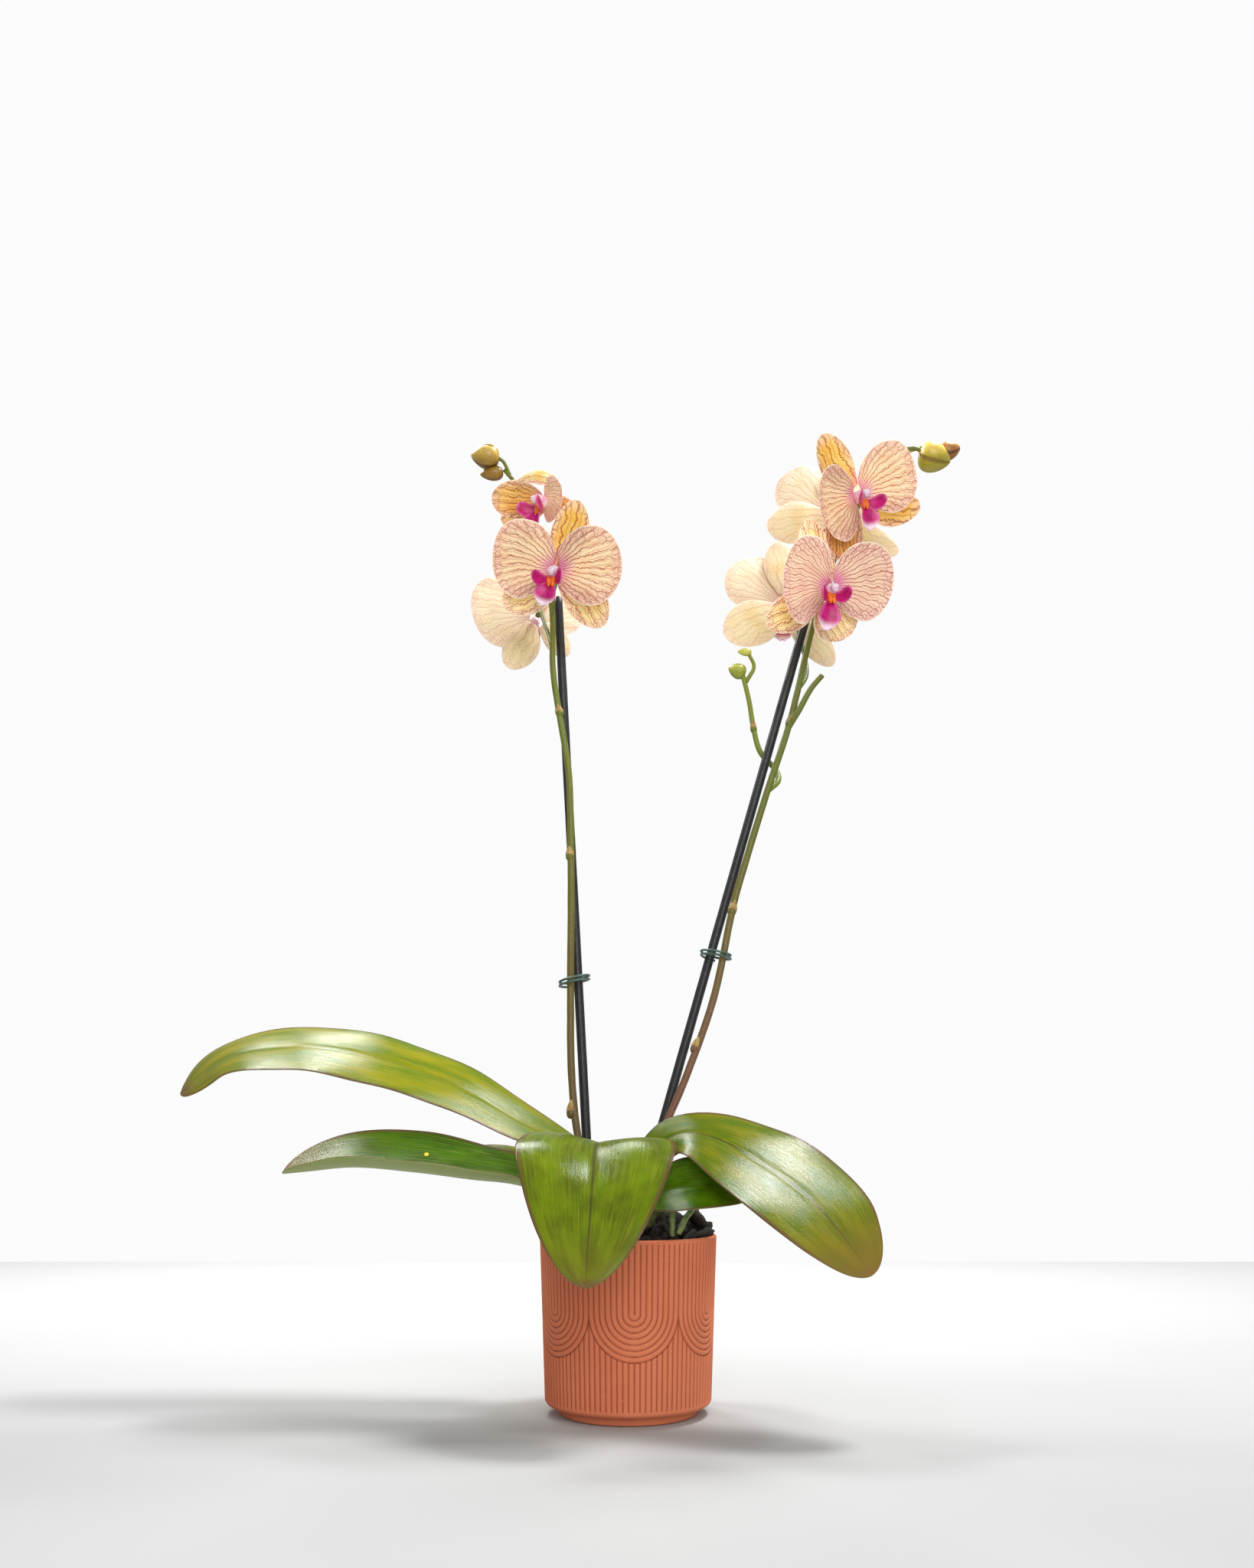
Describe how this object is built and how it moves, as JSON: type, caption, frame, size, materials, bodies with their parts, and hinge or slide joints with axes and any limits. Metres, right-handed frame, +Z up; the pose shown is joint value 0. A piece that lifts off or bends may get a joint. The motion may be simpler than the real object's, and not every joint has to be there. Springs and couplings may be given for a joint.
{
  "type": "potted orchid",
  "caption": "Moth orchid with arching flower spikes on stakes, strap leaves and bark, in a fluted terracotta pot.",
  "frame": {"origin": "centre of the pot's underside, on the surface it stands on", "axes": "+Z up the plant; +X to the right and -Y towards a viewer facing the front of the flowers"},
  "size_m": [0.5959, 0.2096, 0.7305],
  "materials": {
    "terracotta": "matte unglazed, fine speckle",
    "bark": "rough, damp, near black",
    "root": "satin green",
    "leaf": "waxy, broken gloss, fine lengthwise grain",
    "stem": "satin green turning brown-olive low down",
    "stake": "satin black",
    "clip": "dark green coated wire",
    "sepal": "soft golden with brown-red veins",
    "petal": "soft cream with brick-red branching veins",
    "lip": "magenta, orange callus, pale tip"
  },
  "bodies": {
    "root": {"outer_pot": "terracotta", "bark_mix": "bark", "plant_crown": "stem", "aerial_root_front": "root", "aerial_root_back": "root", "leaf_upper_left": "leaf", "leaf_lower_left": "leaf", "leaf_front": "leaf", "leaf_right": "leaf", "leaf_inner_right": "leaf", "leaf_back_left": "leaf", "flower_spike_left": "stem", "flower_spike_right": "stem", "stake_left": "stake", "stake_right": "stake", "clip_left": "clip", "clip_right": "clip", "flower_l1_dorsal_sepal": "sepal", "flower_l1_left_petal": "petal", "flower_l1_right_petal": "petal", "flower_l1_left_lateral_sepal": "sepal", "flower_l1_right_lateral_sepal": "sepal", "flower_l1_lip": "lip", "flower_l2_dorsal_sepal": "sepal", "flower_l2_left_petal": "petal", "flower_l2_right_petal": "petal", "flower_l2_left_lateral_sepal": "sepal", "flower_l2_right_lateral_sepal": "sepal", "flower_l2_lip": "lip", "flower_l3_dorsal_sepal": "sepal", "flower_l3_left_petal": "petal", "flower_l3_right_petal": "petal", "flower_l3_left_lateral_sepal": "sepal", "flower_l3_right_lateral_sepal": "sepal", "flower_l3_lip": "lip", "flower_r1_dorsal_sepal": "sepal", "flower_r1_left_petal": "petal", "flower_r1_right_petal": "petal", "flower_r1_left_lateral_sepal": "sepal", "flower_r1_right_lateral_sepal": "sepal", "flower_r1_lip": "lip", "flower_r2_dorsal_sepal": "sepal", "flower_r2_left_petal": "petal", "flower_r2_right_petal": "petal", "flower_r2_left_lateral_sepal": "sepal", "flower_r2_right_lateral_sepal": "sepal", "flower_r2_lip": "lip", "flower_r3_dorsal_sepal": "sepal", "flower_r3_left_petal": "petal", "flower_r3_right_petal": "petal", "flower_r3_left_lateral_sepal": "sepal", "flower_r3_right_lateral_sepal": "sepal", "flower_r3_lip": "lip", "flower_r4_dorsal_sepal": "sepal", "flower_r4_left_petal": "petal", "flower_r4_right_petal": "petal", "flower_r4_left_lateral_sepal": "sepal", "flower_r4_right_lateral_sepal": "sepal", "flower_r4_lip": "lip"}
  },
  "joints": []
}
